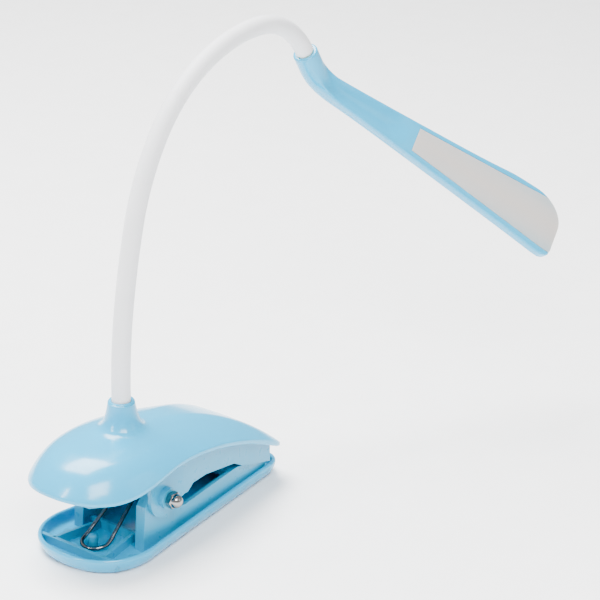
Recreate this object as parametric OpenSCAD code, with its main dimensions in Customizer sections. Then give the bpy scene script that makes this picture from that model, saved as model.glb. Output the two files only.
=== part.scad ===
// Clip-on reading lamp: sprung clip, bendable neck and flat lit head.
// Millimetres, +Z up, +X from the handles to the jaw tips, origin under the neck on the table plane.

/* [Clip] */
// length of the lower jaw from handle end to nose
jaw_length = 127; // [100:1:150]
// half width of the lower jaw at its widest
jaw_half_width = 27.1; // [20:0.1:32]
// height of the tray rim
rim_height = 7.4; // [5:0.1:10]
// wall of the moulded parts
wall = 2.0; // [1.4:0.1:3]
// half width of the top cover at its widest
cover_half_width = 28.5; // [22:0.1:34]
// height of the cover crest around the collar
cover_crest = 49; // [40:0.5:60]

/* [Pivot] */
// pivot axis position along the clip
pivot_x = 1.4; // [0:0.1:20]
// pivot axis height
pivot_z = 24; // [15:0.1:28]
// bolt radius
bolt_r = 1.5; // [1:0.05:2.5]
// spring wire diameter
wire_d = 1.7; // [1:0.1:2.5]
// mean coil radius of the spring
coil_r = 4.3; // [3:0.1:6]

/* [Neck] */
// sleeve radius
sleeve_r = 4; // [3:0.1:6]
// metal core radius
core_r = 2.4; // [1.5:0.1:3.5]
// length of each of the six neck arcs
arc_len = 37.2; // [20:0.1:60]
// top of the collar, where the neck comes out
collar_z = 62; // [50:0.5:80]

/* [Head] */
// bend between the head collar and the blade
head_bend = 36.05; // [0:0.1:60]
// turn of the bend direction out of the plane of the neck
head_turn = 22.17; // [-90:0.01:90]
// roll of the lit face about the blade
head_roll = 16.5; // [-45:0.1:45]
// straight length of the blade
blade_len = 124.1; // [80:1:160]
// half width at the blade root
blade_root = 4.95; // [4:0.1:10]
// extra half width gained towards the tip
blade_gain = 9.41; // [5:0.1:20]
// blade thickness
blade_t = 7.6; // [5:0.1:12]
// start of the diffuser along the blade
lens_start = 42.3; // [20:0.1:80]

/* [Hidden] */

blue = [0.55, 0.80, 0.93];
steel = [0.75, 0.76, 0.78];
milk = [0.90, 0.90, 0.88];

rear_x = -38.6;
nose_x = rear_x + jaw_length;
turns = [8.6, 6.5, 19.6, 28.8, 27, 58.4];
sleeve_gap = 0.75;
ear_in = 14.8;
ear_out = 19.8;
lug_in = 20.1;
lug_out = 21.9;
boss_out = 24.6;
nut_face = boss_out + 0.3;
head_face = boss_out + 0.95;
collar_r = 5.55;
flare_end = 15;
foot_end = 26;
foot_rise = 1.75;
cover_rear = -44;
cover_front = 85.5;
cover_wide_x = -8;
cover_t = 2.0;
edge_t = 1.8;

// ---- lower jaw outline ----
function jaw_hw(x) = x < -13
    ? jaw_half_width * pow(max(0, 1 - pow((-13 - x) / (-13 - rear_x), 2.3)), 1 / 2.3)
    : jaw_half_width - 12.6 * pow((x + 13) / 93, 0.95);
function jaw_side() = concat(
    [for (i = [0:12]) let (a = 90 * i / 12, x = -13 - (-13 - rear_x) * cos(a)) [x, jaw_hw(x)]],
    [for (i = [1:8]) let (x = -13 + 91 * i / 8) [x, jaw_hw(x)]],
    [for (i = [1:7]) let (a = 90 * i / 7) [78 + (nose_x - 78) * sin(a), jaw_hw(78) * pow(cos(a), 0.55)]]);
function mirrored(p) = [for (i = [len(p) - 1:-1:0]) [p[i][0], -p[i][1]]];
jaw_pts = concat(jaw_side(), mirrored(jaw_side()));

// ---- cover surface ----
function cover_hw(x) = x < cover_wide_x
    ? cover_half_width * pow(max(0, 1 - pow((cover_wide_x - x) / (cover_wide_x - cover_rear), 2.3)), 1 / 2.3)
    : cover_half_width - 11.3 * pow((x - cover_wide_x) / (cover_front - cover_wide_x), 1.35);
function edge_z(x) = x < 8
    ? 38.3 - 5.5 * (1 - cos(180 * (8 - x) / 38)) / 2
    : 38.3 - 0.01239 * pow(x - 8, 1.744);
// outline as a radius about the collar axis, found by halving
function inside(r, a) = let (x = r * cos(a), y = abs(r * sin(a)))
    x > cover_rear && x < cover_front - y * y / 200 && y < cover_hw(x);
function find_r(a, lo, hi, n) = n == 0 ? lo
    : (inside((lo + hi) / 2, a) ? find_r(a, (lo + hi) / 2, hi, n - 1) : find_r(a, lo, (lo + hi) / 2, n - 1));
function ray_angle(i, n) = let (t = 360 * i / n) t - 14 * sin(2 * t);
// the neck cone: a steep part and a wide soft foot
function falling(r, last, p) = r >= last ? 0 : pow((last - r) / (last - collar_r), p);
function flare(r) = (collar_z + 0.35 - cover_crest - foot_rise) * falling(r, flare_end, 5)
    + foot_rise * falling(r, foot_end, 2.5);
// the shoulders are fuller towards the handle end
function fullness(x) = 3.95 - 1.55 * (exp(x / 10) - 1) / (exp(x / 10) + 1);
function dome(s, top, x) = cover_crest - (cover_crest - top) * pow(s, fullness(x));
function polar(r, a, z) = [r * cos(a), r * sin(a), z];
cover_n = 64;
cover_a = [for (i = [0:cover_n - 1]) ray_angle(i, cover_n)];
cover_R = [for (a = cover_a) find_r(a, 10, 100, 22)];
flare_rings = [5.55, 5.8, 6.15, 6.7, 7.5, 8.8, 11, 14.5, 19.3];
skirt_rings = [0.16, 0.33, 0.5, 0.66, 0.8, 0.91, 0.975];
function ring_abs(r, drop) = [for (i = [0:cover_n - 1]) let (R = cover_R[i], a = cover_a[i])
    polar(r, a, dome(r / R, edge_z(R * cos(a)) + edge_t, r * cos(a)) + flare(r) - drop)];
function ring_rel(u, inset, drop) = [for (i = [0:cover_n - 1])
    let (R = cover_R[i], a = cover_a[i], r = 19.3 + (R - 19.3 - inset) * u)
    polar(r, a, dome(r / R, edge_z(R * cos(a)) + edge_t, r * cos(a)) + (drop == 0 ? flare(r) : 0) - drop)];
function ring_in(r, drop) = [for (i = [0:cover_n - 1]) let (R = cover_R[i], a = cover_a[i])
    polar(r, a, dome(r / R, edge_z(R * cos(a)) + edge_t, r * cos(a)) - drop)];
function ring_edge(inset, up) = [for (i = [0:cover_n - 1]) let (R = cover_R[i], a = cover_a[i])
    polar(R - inset, a, edge_z(R * cos(a)) + up)];
function flat(v) = [for (a = v, b = a) b];

// joins rings of equal length into a closed solid; the ends are capped by fans, or the last by a strip across
module rings_solid(rings, first, last, strip = false) {
    n = len(rings[0]);
    m = len(rings);
    pts = concat(flat(rings), [first, last]);
    sides = [for (j = [0:m - 2], i = [0:n - 1], k = [0:1]) let (a = j * n + i, b = j * n + (i + 1) % n)
        k == 0 ? [a, b, b + n] : [a, b + n, a + n]];
    cap1 = [for (i = [0:n - 1]) [n * m, (i + 1) % n, i]];
    e = (m - 1) * n;
    cap2 = strip
        ? [for (i = [0:n / 2 - 1], k = [0:1]) if (!(i == 0 && k == 1) && !(i == n / 2 - 1 && k == 0))
            k == 0 ? [e + i, e + i + 1, e + n - i - 1] : [e + i, e + n - i - 1, e + n - i]]
        : [for (i = [0:n - 1]) [n * m + 1, e + i, e + (i + 1) % n]];
    polyhedron(points = pts, faces = concat(sides, cap1, cap2), convexity = 6);
}

// ---- neck path in the XZ plane ----
function arc_rad(k) = arc_len / (turns[k] * PI / 180);
function heading(k) = k == 0 ? 90 : heading(k - 1) - turns[k - 1];
function arc_centre(k) = neck_point(k) + arc_rad(k) * [sin(heading(k)), -cos(heading(k))];
function neck_point(k) = k == 0 ? [0, collar_z]
    : let (h = heading(k)) arc_centre(k - 1) + arc_rad(k - 1) * [-sin(h), cos(h)];
neck_end = neck_point(6);
end_heading = heading(6);

// ---- head path ----
function unit(v) = v / norm(v);
collar_dir = [cos(end_heading), 0, sin(end_heading)];
collar_up = [-sin(end_heading), 0, cos(end_heading)];
bend_dir = cos(head_turn) * [0, -1, 0] + sin(head_turn) * collar_up;
head_origin = [neck_end[0], 0, neck_end[1]] + collar_dir * 0.6;
root_straight = 8.4;
root_arc = 18;
root_s = root_straight + root_arc;
root_rad = root_arc / (head_bend * PI / 180);
blade_dir = cos(head_bend) * collar_dir + sin(head_bend) * bend_dir;
flat_face = -sin(head_bend) * collar_dir + cos(head_bend) * bend_dir;
bend_axis = cross(blade_dir, flat_face);
face_dir = cos(head_roll) * flat_face + sin(head_roll) * bend_axis;
side_dir = cross(blade_dir, face_dir);
blade_origin = head_origin + collar_dir * root_straight
    + root_rad * (sin(head_bend) * collar_dir + (1 - cos(head_bend)) * bend_dir);

// places blade coordinates (along, across, out of the lit face) in the frame of the lamp
module on_blade() {
    multmatrix([[blade_dir[0], side_dir[0], face_dir[0], blade_origin[0]],
                [blade_dir[1], side_dir[1], face_dir[1], blade_origin[1]],
                [blade_dir[2], side_dir[2], face_dir[2], blade_origin[2]],
                [0, 0, 0, 1]])
        children();
}

// ---- swept wire ----
function tangent(p, i) = unit(p[min(i + 1, len(p) - 1)] - p[max(i - 1, 0)]);
function carry(n, t) = unit(n - (n * t) * t);
function normals(p, i, n, out) = i == len(p) ? out
    : let (m = carry(n, tangent(p, i))) normals(p, i + 1, m, concat(out, [m]));
module wire(p, r, start_normal) {
    m = 8;
    ns = normals(p, 0, start_normal, []);
    rings = [for (i = [0:len(p) - 1]) let (t = tangent(p, i), b = cross(t, ns[i]))
        [for (j = [0:m - 1]) p[i] + r * (cos(360 * j / m) * ns[i] + sin(360 * j / m) * b)]];
    rings_solid(rings, p[0], p[len(p) - 1]);
}

// ================= clip, lower half =================
module jaw_profile() {
    // side view of the gripping body, in X and Z
    polygon([[8, 1], [8, 15.5], [17, 13.4], [24, 13.6], [56, 14.6], [60, 13.7], [77.5, 8.5], [77.5, 1]]);
}
module jaw_plan(inset) {
    polygon([[8, -(ear_out - inset)], [77.5, -(12.4 - inset)], [77.5, 12.4 - inset], [8, ear_out - inset]]);
}
module along_y(y0, y1) {
    translate([0, y1, 0])
        rotate([90, 0, 0])
            linear_extrude(y1 - y0)
                children();
}
module ear_profile() {
    polygon([[-10.4, 1], [-8.6, 22], [-4.6, 26], [pivot_x, 29], [7, 27], [9.5, 16], [9.5, 1]]);
    translate([pivot_x, pivot_z])
        circle(r = 6, $fn = 48);
}
module lower_jaw() {
    color(blue) {
        difference() {
            union() {
                linear_extrude(2.2)
                    offset(delta = -1.3)
                        polygon(jaw_pts);
                translate([0, 0, 1.2])
                    linear_extrude(rim_height - 1.2)
                        difference() {
                            polygon(jaw_pts);
                            offset(delta = -wall)
                                polygon(jaw_pts);
                        }
                // hollow gripping body
                difference() {
                    intersection() {
                        along_y(-21, 21) jaw_profile();
                        linear_extrude(20) jaw_plan(0);
                    }
                    intersection() {
                        translate([0, 0, -wall]) along_y(-21, 21) jaw_profile();
                        translate([0, 0, 2.2]) linear_extrude(20) jaw_plan(wall);
                        translate([5, -20, 0]) cube([70.5, 40, 20]);
                    }
                }
                // ear walls that carry the pivot
                for (s = [-1, 1])
                    along_y(s < 0 ? -ear_out : ear_in, s < 0 ? -ear_in : ear_out) ear_profile();
                // cross ribs and the splayed ribs between them
                translate([-29.2, -23.4, 1]) cube([1.6, 46.8, 5]);
                translate([-5.6, -15.8, 1]) cube([1.6, 31.6, 5.4]);
                for (s = [-1, 1])
                    linear_extrude(6)
                        polygon([[-28, s * 13.2], [-28, s * 14.8], [-5, s * 10.2], [-5, s * 8.6]]);
                // peg that the spring loop hooks over
                translate([-19.5, 0, 1]) cylinder(r = 2.0, h = 7, $fn = 32);
                translate([-19.5, 0, 7]) cylinder(r1 = 2.0, r2 = 1.2, h = 1.2, $fn = 32);
            }
            // grip grooves across the gripping face
            for (i = [0:3])
                translate([63.5 + 3.6 * i, -10.2, 11.85 - 1.07 * i])
                    cube([1.2, 20.4, 3]);
            // open well between the walls, behind the gripping pad
            translate([7, 0, 2.2])
                linear_extrude(20)
                    polygon([[0, -(ear_out - 2.2)], [43, -(ear_out - 2.2 - 4.6)], [43, ear_out - 2.2 - 4.6], [0, ear_out - 2.2]]);
            // pivot bore through both ears
            translate([pivot_x, 0, pivot_z])
                rotate([90, 0, 0])
                    cylinder(r = bolt_r + 0.05, h = 60, center = true, $fn = 48);
        }
    }
}
module hinge_bolt() {
    color(steel)
        translate([pivot_x, 0, pivot_z])
            rotate([-90, 0, 0]) {
                translate([0, 0, -nut_face - 3.2]) cylinder(r = bolt_r, h = nut_face + 3.2 + head_face + 0.1, $fn = 48);
                difference() {
                    translate([0, 0, head_face]) cylinder(r = 2.9, h = 2.2, $fn = 48);
                    translate([0, 0, head_face + 0.9]) cylinder(r = 1.5, h = 2, $fn = 6);
                }
            }
}
module cap_nut() {
    color(steel)
        translate([pivot_x, -nut_face, pivot_z])
            rotate([90, 0, 0])
                difference() {
                    union() {
                        cylinder(r = 3.85, h = 2.6, $fn = 6);
                        cylinder(r = 3.4, h = 3.2, $fn = 48);
                        translate([0, 0, 2.9])
                            rotate_extrude($fn = 48)
                                intersection() {
                                    circle(r = 3.1, $fn = 48);
                                    square([4, 4]);
                                }
                    }
                    translate([0, 0, -1]) cylinder(r = bolt_r + 0.02, h = 4.6, $fn = 48);
                }
}
module bolt_washer() {
    color(steel)
        translate([pivot_x, boss_out + 0.3, pivot_z])
            rotate([-90, 0, 0])
                difference() {
                    cylinder(r = 3.5, h = 0.6, $fn = 48);
                    translate([0, 0, -1]) cylinder(r = bolt_r + 0.1, h = 3, $fn = 48);
                }
}
// one half of the spring: upper leg, coil, then the lower leg to the loop
coil_turns = 3.375;
coil_in = 4.2;
function coil_pt(t) = [pivot_x + coil_r * cos(90 - 360 * t), 0, pivot_z + coil_r * sin(90 - 360 * t)];
function half_spring(s) = concat(
    [for (i = [0:4]) let (q = coil_pt(0)) [q[0] - 24 + 6 * i, s * 12.0, q[2] + 0.24 - 0.06 * i]],
    [for (i = [1:42]) let (t = coil_turns * i / 42, q = coil_pt(t)) [q[0], s * (12 - (12 - coil_in) * t / coil_turns), q[2]]]);
spring_low_start = coil_pt(coil_turns);
function loop_half(s) = [for (i = [1:6]) let (u = i / 6)
    [spring_low_start[0] - (spring_low_start[0] + 16) * u, s * (coil_in + 1.8 * u), spring_low_start[2] - (spring_low_start[2] - 4.4) * u]];
function loop_end() = [for (i = [1:9]) let (a = 180 * i / 10) [-16 - 8.2 * sin(a), 6.0 * cos(a), 4.4 - 1.0 * sin(a)]];
function backwards(v) = [for (i = [len(v) - 1:-1:0]) v[i]];
spring_path = concat(half_spring(1), loop_half(1), loop_end(), backwards(loop_half(-1)), backwards(half_spring(-1)));
module torsion_spring() {
    color(steel) wire(spring_path, wire_d / 2, [0, 0, 1]);
}

// ================= clip, upper half =================
block_rear = 9;
block_front = 79;
block_wall = 1.8;
function block_hw(x) = lug_out - 7.9 * (x - block_rear) / (block_front - block_rear);
module upper_profile() {
    polygon([[-34, 29.6], [6, 29.6], [8, 20.8], [16.5, 20.2], [20.5, 22.8], [30, 22.7], [51, 18.9],
             [57.5, 15.1], [60.3, 14.1], [79, 8.6], [79, 50], [-34, 50]]);
}
module upper_inner_profile() {
    polygon([[-32, 31.4], [6, 31.4], [7, 5], [19.5, 5], [21.3, 24.6], [30, 24.5], [51.8, 20.6],
             [58.4, 16.9], [60.8, 15.9], [77.2, 11.1], [77.2, 52], [-32, 52]]);
}
module upper_plan(inset) {
    f = block_front - inset;
    r = block_rear + inset;
    polygon([[-34 + inset, -(12.6 - inset)], [-31 + inset, -(14.8 - inset)], [r - 1, -(14.8 - inset)], [r, -(block_hw(r) - inset)],
             [f, -(block_hw(f) - inset)], [f, block_hw(f) - inset],
             [r, block_hw(r) - inset], [r - 1, 14.8 - inset], [-31 + inset, 14.8 - inset], [-34 + inset, 12.6 - inset]]);
}
// everything above the inside of the cover, used to trim what sits under it
module above_inside(gap) {
    rings = [ring_rel(1.06, 0, cover_t + gap), ring_rel(0.9, 0, cover_t + gap), ring_rel(0.7, 0, cover_t + gap),
             ring_rel(0.45, 0, cover_t + gap), ring_rel(0.2, 0, cover_t + gap), ring_in(12, cover_t + gap)];
    top = [for (p = rings[0]) [p[0], p[1], 90]];
    rings_solid(concat([top], rings), [0, 0, 90], [0, 0, cover_crest - cover_t - gap]);
}
screw_spots = [[-24, -7.5], [-24, 7.5], [66, -8], [66, 8]];
module upper_jaw() {
    color(blue)
        difference() {
            union() {
                difference() {
                    union() {
                        difference() {
                            intersection() {
                                along_y(-24, 24) upper_profile();
                                linear_extrude(70) upper_plan(0);
                            }
                            intersection() {
                                along_y(-24, 24) upper_inner_profile();
                                linear_extrude(80) upper_plan(block_wall);
                            }
                        }
                        for (p = screw_spots)
                            translate([p[0], p[1], p[0] < 0 ? 30 : 13]) cylinder(r = 2.6, h = 26, $fn = 32);
                    }
                    above_inside(0.3);
                }
                // rounded lugs outside the ear walls, with the bosses under the nut and bolt head
                difference() {
                    for (s = [-1, 1])
                        along_y(s < 0 ? -lug_out : lug_in, s < 0 ? -lug_in : lug_out) {
                            translate([pivot_x, pivot_z]) circle(r = 8.8, $fn = 64);
                            polygon([[pivot_x - 8.8, pivot_z], [pivot_x - 7.5, 50], [13, 50], [13, 20.6], [pivot_x + 6, pivot_z - 5]]);
                        }
                    above_inside(0.3);
                }
                for (s = [-1, 1])
                    translate([pivot_x, s * (lug_out - 0.2 + boss_out) / 2, pivot_z])
                        rotate([90, 0, 0])
                            cylinder(r = 4.5, h = boss_out - lug_out + 0.2, center = true, $fn = 48);
            }
            // grip grooves across the gripping face
            for (i = [0:3])
                translate([65.3 + 3.6 * i, -10.2, 5])
                    cube([1.2, 20.4, 8.0 - 1.06 * i]);
            translate([pivot_x, 0, pivot_z])
                rotate([90, 0, 0])
                    cylinder(r = bolt_r + 0.06, h = 60, center = true, $fn = 48);
            // holes for the cover screws, counterbored from below
            for (p = screw_spots) {
                translate([p[0], p[1], 5]) cylinder(r = 1.1, h = 60, $fn = 32);
                translate([p[0], p[1], p[0] < 0 ? 29 : 5]) cylinder(r = 2.0, h = p[0] < 0 ? 1.8 : 9.2, $fn = 32);
            }
            // opening for the charging socket in the far side wall
            translate([30.3, 10, 26.0]) cube([9.0, 14, 4.0]);
        }
}
module cover() {
    color(blue)
        difference() {
            rings_solid(concat(
                [for (r = flare_rings) ring_abs(r, 0)],
                [for (u = skirt_rings) ring_rel(u, 0, 0)],
                [ring_edge(0.15, edge_t * 0.86), ring_edge(0, edge_t * 0.5), ring_edge(0.35, 0.15), ring_edge(1.0, 0),
                 ring_edge(cover_t, 0.25), ring_rel(0.9, 1.5, cover_t), ring_rel(0.66, 1.5, cover_t), ring_rel(0.4, 1.5, cover_t), ring_rel(0.16, 1.5, cover_t),
                 ring_in(11, cover_t)]),
                [0, 0, collar_z + 0.35], [0, 0, cover_crest - cover_t]);
            // bore that takes the neck
            translate([0, 0, 40]) cylinder(r = sleeve_r + 0.02, h = 40, $fn = 64);
        }
}
module battery() {
    color([0.55, 0.57, 0.6])
        translate([23, -14, 26.6]) cube([27, 23, 6.0]);
}
module control_board() {
    color([0.1, 0.35, 0.2])
        translate([23, -15, 24.75]) cube([27, 30, 1.2]);
}
module charge_port() {
    color(steel)
        translate([30.6, 10.4, 26.3])
            difference() {
                cube([8.4, 7.9, 3.4]);
                translate([0.5, 1, 0.5]) cube([7.4, 9, 2.4]);
            }
}
module cover_screws() {
    color(steel)
        for (p = screw_spots)
            translate([p[0], p[1], p[0] < 0 ? 29.7 : 12.9]) {
                difference() {
                    cylinder(r = 1.8, h = 1.1, $fn = 32);
                    translate([0, 0, -0.1]) cylinder(r = 0.7, h = 0.7, $fn = 6);
                }
                cylinder(r = 0.95, h = p[0] < 0 ? 7.5 : 10.5, $fn = 32);
            }
}
module neck_anchor() {
    color(steel)
        translate([0, 0, 42.0])
            difference() {
                union() {
                    cylinder(r = 6.4, h = 3.2, $fn = 6);
                    translate([0, 0, 3.2]) cylinder(r = 6.8, h = 0.9, $fn = 48);
                }
                translate([0, 0, -1]) cylinder(r = sleeve_r + 0.05, h = 8, $fn = 64);
            }
}

// ================= neck =================
module bent(k, r, trim_a, trim_b) {
    R = arc_rad(k);
    da = trim_a / R * 180 / PI;
    db = trim_b / R * 180 / PI;
    c = arc_centre(k);
    translate([c[0], 0, c[1]])
        rotate([90, 0, 0])
            rotate([0, 0, heading(k) + 90 - turns[k] + db])
                rotate_extrude(angle = turns[k] - da - db, $fn = 96)
                    translate([R, 0]) circle(r = r, $fn = 40);
}
module hollow_bent(k, r, ri, trim_a, trim_b) {
    R = arc_rad(k);
    da = trim_a / R * 180 / PI;
    db = trim_b / R * 180 / PI;
    c = arc_centre(k);
    translate([c[0], 0, c[1]])
        rotate([90, 0, 0])
            rotate([0, 0, heading(k) + 90 - turns[k] + db])
                rotate_extrude(angle = turns[k] - da - db, $fn = 96)
                    translate([R, 0]) difference() {
                        circle(r = r, $fn = 40);
                        circle(r = ri, $fn = 40);
                    }
}
module sleeve(k) {
    color(milk)
        hollow_bent(k, sleeve_r, core_r + 0.35, k == 0 ? 0 : sleeve_gap, k == 5 ? 0 : sleeve_gap);
}
// each core ends in a ball that turns in a cup in the next one
module core(k) {
    p = neck_point(k);
    q = neck_point(k + 1);
    color(steel)
        difference() {
            union() {
                bent(k, core_r, 0, 0);
                if (k < 5)
                    translate([q[0], 0, q[1]]) sphere(r = core_r + 0.15, $fn = 40);
            }
            if (k > 0)
                translate([p[0], 0, p[1]]) sphere(r = core_r + 0.21, $fn = 40);
        }
}
module base_ferrule() {
    color(steel)
        translate([0, 0, 42.2])
            difference() {
                cylinder(r = sleeve_r, h = collar_z - 42.2, $fn = 64);
                translate([0, 0, -1]) cylinder(r = 1.2, h = 40, $fn = 32);
            }
}
module head_ferrule() {
    color(steel)
        translate([neck_end[0], 0, neck_end[1]])
            rotate([0, 90 - end_heading, 0])
                difference() {
                    cylinder(r = sleeve_r, h = 9.6, $fn = 64);
                    translate([0, 0, -1]) cylinder(r = 1.2, h = 12, $fn = 32);
                }
}
module sleeve_1() { sleeve(0); }
module sleeve_2() { sleeve(1); }
module sleeve_3() { sleeve(2); }
module sleeve_4() { sleeve(3); }
module sleeve_5() { sleeve(4); }
module sleeve_6() { sleeve(5); }
module core_1() { core(0); }
module core_2() { core(1); }
module core_3() { core(2); }
module core_4() { core(3); }
module core_5() { core(4); }
module core_6() { core(5); }

// ================= head =================
function blade_hw(l) = blade_root + blade_gain * pow(max(0, l + 4.3) / 122, 1.1);
// the tip: a long rounded corner on one side and a tight one on the other
far_w = 13.3;
far_len = 18.3;
near_w = 14.5;
near_r = 3.2;
function near_hw(l) = min(blade_hw(l), near_w);
function far_hw(l) = min(blade_hw(l), far_w);
function tip_cut(y) = y < 0
    ? far_len * (1 - sqrt(max(0, 1 - pow(min(-y, far_w) / far_w, 2))))
    : y <= near_w - near_r ? 0
    : near_r * (1 - sqrt(max(0, 1 - pow((min(y, near_w) - near_w + near_r) / near_r, 2))));
// centre line and frame of the shell at distance s from the collar mouth
function smooth(t) = let (u = min(1, max(0, t))) u * u * (3 - 2 * u);
function mix(a, b, t) = a + (b - a) * t;
function spow(v, e) = sign(v) * pow(abs(v), e);
function arc_turn(s) = (s - root_straight) / root_rad * 180 / PI;
function shell_pos(s) = s < root_straight ? head_origin + collar_dir * s
    : s < root_s
        ? let (a = arc_turn(s))
            head_origin + collar_dir * root_straight + root_rad * (sin(a) * collar_dir + (1 - cos(a)) * bend_dir)
        : blade_origin + blade_dir * (s - root_s);
function plain_face(s) = s < root_straight ? bend_dir
    : s < root_s ? let (a = arc_turn(s)) -sin(a) * collar_dir + cos(a) * bend_dir
        : flat_face;
function shell_roll(s) = head_roll * smooth(s / root_s);
function shell_face(s) = cos(shell_roll(s)) * plain_face(s) + sin(shell_roll(s)) * bend_axis;
function shell_side(s) = cos(shell_roll(s)) * bend_axis - sin(shell_roll(s)) * plain_face(s);
// half width, front and back heights, roundness and dish of the section at s
function sec_hw(s, c) = mix(5.5, c < 0 ? far_hw(s - root_s) : near_hw(s - root_s), smooth((s - 6) / 18));
function sec_front(s) = mix(5.5, blade_t / 2 - 1.7, smooth((s - 6) / 26));
function sec_back(s) = mix(5.5, blade_t / 2, smooth((s - 6) / 40));
function sec_exp(s) = mix(2, 3.4, smooth((s - 8) / 34));
function sec_dish(s) = 1.3 * smooth((s - 14) / 20) * (1 - smooth((s - 56) / 11));
function section(s, shrink) = [for (i = [0:27]) let (
    a = 360 * i / 28, e = 2 / sec_exp(s), c = spow(cos(a), e), n = spow(sin(a), e),
    y = sec_hw(s, c) * shrink * c,
    f = n > 0 ? n * sec_front(s) * shrink - sec_dish(s) * n * (1 - c * c) : n * sec_back(s) * shrink,
    back = tip_cut(y) * smooth((s - 86) / 60))
    shell_pos(s) + shell_side(s) * y + shell_face(s) * f - blade_dir * back];
shell_s = [0, 3, 6, 9, 12, 15, 18, 21, 24, 27, 31, 37, 44, 52, 57, 62, 67, 80, 92, 103, 113, 123, 133, 140, 146];
// outline of the blade from l0 to the tip, moved in by inset
module blade_outline(l0, inset) {
    last = blade_len - near_r;
    bend = blade_len - far_len;
    polygon(concat(
        [for (i = [0:9]) let (l = l0 + (last - l0) * i / 9) [l, near_hw(l) - inset]],
        [for (i = [1:4]) let (a = 90 * i / 4) [last + (near_r - inset) * sin(a), near_w - near_r + (near_r - inset) * cos(a)]],
        [for (i = [0:12]) let (a = 90 + 90 * i / 12) [bend + (far_len - inset) * sin(a), (far_w - inset) * cos(a)]],
        [for (i = [7:-1:0]) let (l = l0 + (bend - l0) * i / 8) [l, -(far_hw(l) - inset)]]));
}
// the strip that the diffuser fills, running past the tip
module lens_strip(inset, l0) {
    end = blade_len + 6;
    polygon(concat(
        [for (i = [0:9]) let (l = l0 + (end - l0) * i / 9) [l, near_hw(l) - inset]],
        [for (i = [9:-1:0]) let (l = l0 + (end - l0) * i / 9) [l, -(blade_hw(l) - inset)]]));
}
front_z = blade_t / 2 - 1.7;
module head_shell() {
    end = root_s + blade_len;
    color(blue)
        difference() {
            rings_solid(concat([for (s = shell_s) section(s, 1)], [section(end - 2.2, 0.985), section(end - 0.8, 0.93), section(end, 0.8)]),
                head_origin, blade_origin + blade_dir * blade_len, true);
            // socket for the end of the neck
            translate([neck_end[0], 0, neck_end[1]])
                rotate([0, 90 - end_heading, 0])
                    translate([0, 0, -2]) cylinder(r = sleeve_r + 0.05, h = 12.4, $fn = 64);
            // pocket for the light
            on_blade()
                translate([0, 0, front_z - 3.0])
                    linear_extrude(8)
                        blade_outline(lens_start + 1.2, 2.3);
            // button hole in the back
            on_blade()
                translate([lens_start + 12, 0, -8]) cylinder(r = 3.05, h = 12, $fn = 48);
            // screw holes behind the frame
            on_blade()
                for (y = [-1, 1])
                    translate([lens_start - 3.4, y * 4.6, -1]) cylinder(r = 0.9, h = 8, $fn = 32);
        }
}
module head_frame() {
    color(blue)
        on_blade()
            translate([0, 0, front_z + 0.02])
                difference() {
                    linear_extrude(1.6)
                        blade_outline(lens_start - 6.5, 0.25);
                    translate([0, 0, -1])
                        linear_extrude(5)
                            lens_strip(2.3, lens_start);
                    for (y = [-1, 1])
                        translate([lens_start - 3.4, y * 4.6, -1]) cylinder(r = 0.9, h = 8, $fn = 32);
                }
}
module diffuser() {
    color(milk)
        on_blade()
            translate([0, 0, front_z + 0.05])
                linear_extrude(1.7)
                    intersection() {
                        lens_strip(2.4, lens_start + 0.1);
                        blade_outline(lens_start - 2, 0.5);
                    }
}
module light_guide() {
    color([0.95, 0.95, 0.95, 0.6])
        on_blade()
            translate([0, 0, front_z - 1.5])
                linear_extrude(1.4)
                    blade_outline(lens_start + 1.6, 3.0);
}
led_n = 7;
module led_board() {
    color([0.92, 0.92, 0.9])
        on_blade()
            translate([0, 0, front_z - 2.9])
                linear_extrude(0.7)
                    difference() {
                        blade_outline(lens_start + 1.6, 2.7);
                        translate([lens_start + 12, 0]) circle(r = 3.6, $fn = 32);
                    }
}
module leds() {
    color([0.95, 0.85, 0.4])
        on_blade()
            for (i = [0:led_n - 1], s = [-1, 1])
                translate([lens_start + 18 + 8.6 * i, s * 4.2, front_z - 1.88])
                    cube([2.8, 2.8, 0.6], center = true);
}
module head_screws() {
    color(steel)
        on_blade()
            for (y = [-1, 1])
                translate([lens_start - 3.4, y * 4.6, front_z - 2.95])
                    cylinder(r = 0.8, h = 4.3, $fn = 32);
}
module button() {
    color([0.92, 0.93, 0.94])
        on_blade()
            translate([lens_start + 12, 0, -blade_t / 2 - 0.5])
                union() {
                    cylinder(r = 3.0, h = 1.6, $fn = 48);
                    translate([0, 0, 1.6]) cylinder(r = 1.2, h = 1.8, $fn = 32);
                }
}

lower_jaw();
hinge_bolt();
cap_nut();
bolt_washer();
torsion_spring();
upper_jaw();
cover();
battery();
control_board();
charge_port();
cover_screws();
neck_anchor();
sleeve_1();
sleeve_2();
sleeve_3();
sleeve_4();
sleeve_5();
sleeve_6();
core_1();
core_2();
core_3();
core_4();
core_5();
core_6();
base_ferrule();
head_ferrule();
head_shell();
head_frame();
diffuser();
light_guide();
led_board();
leds();
head_screws();
button();
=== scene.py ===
import math

import bmesh
import bpy
import numpy as np
from mathutils import Matrix, Vector


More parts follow.
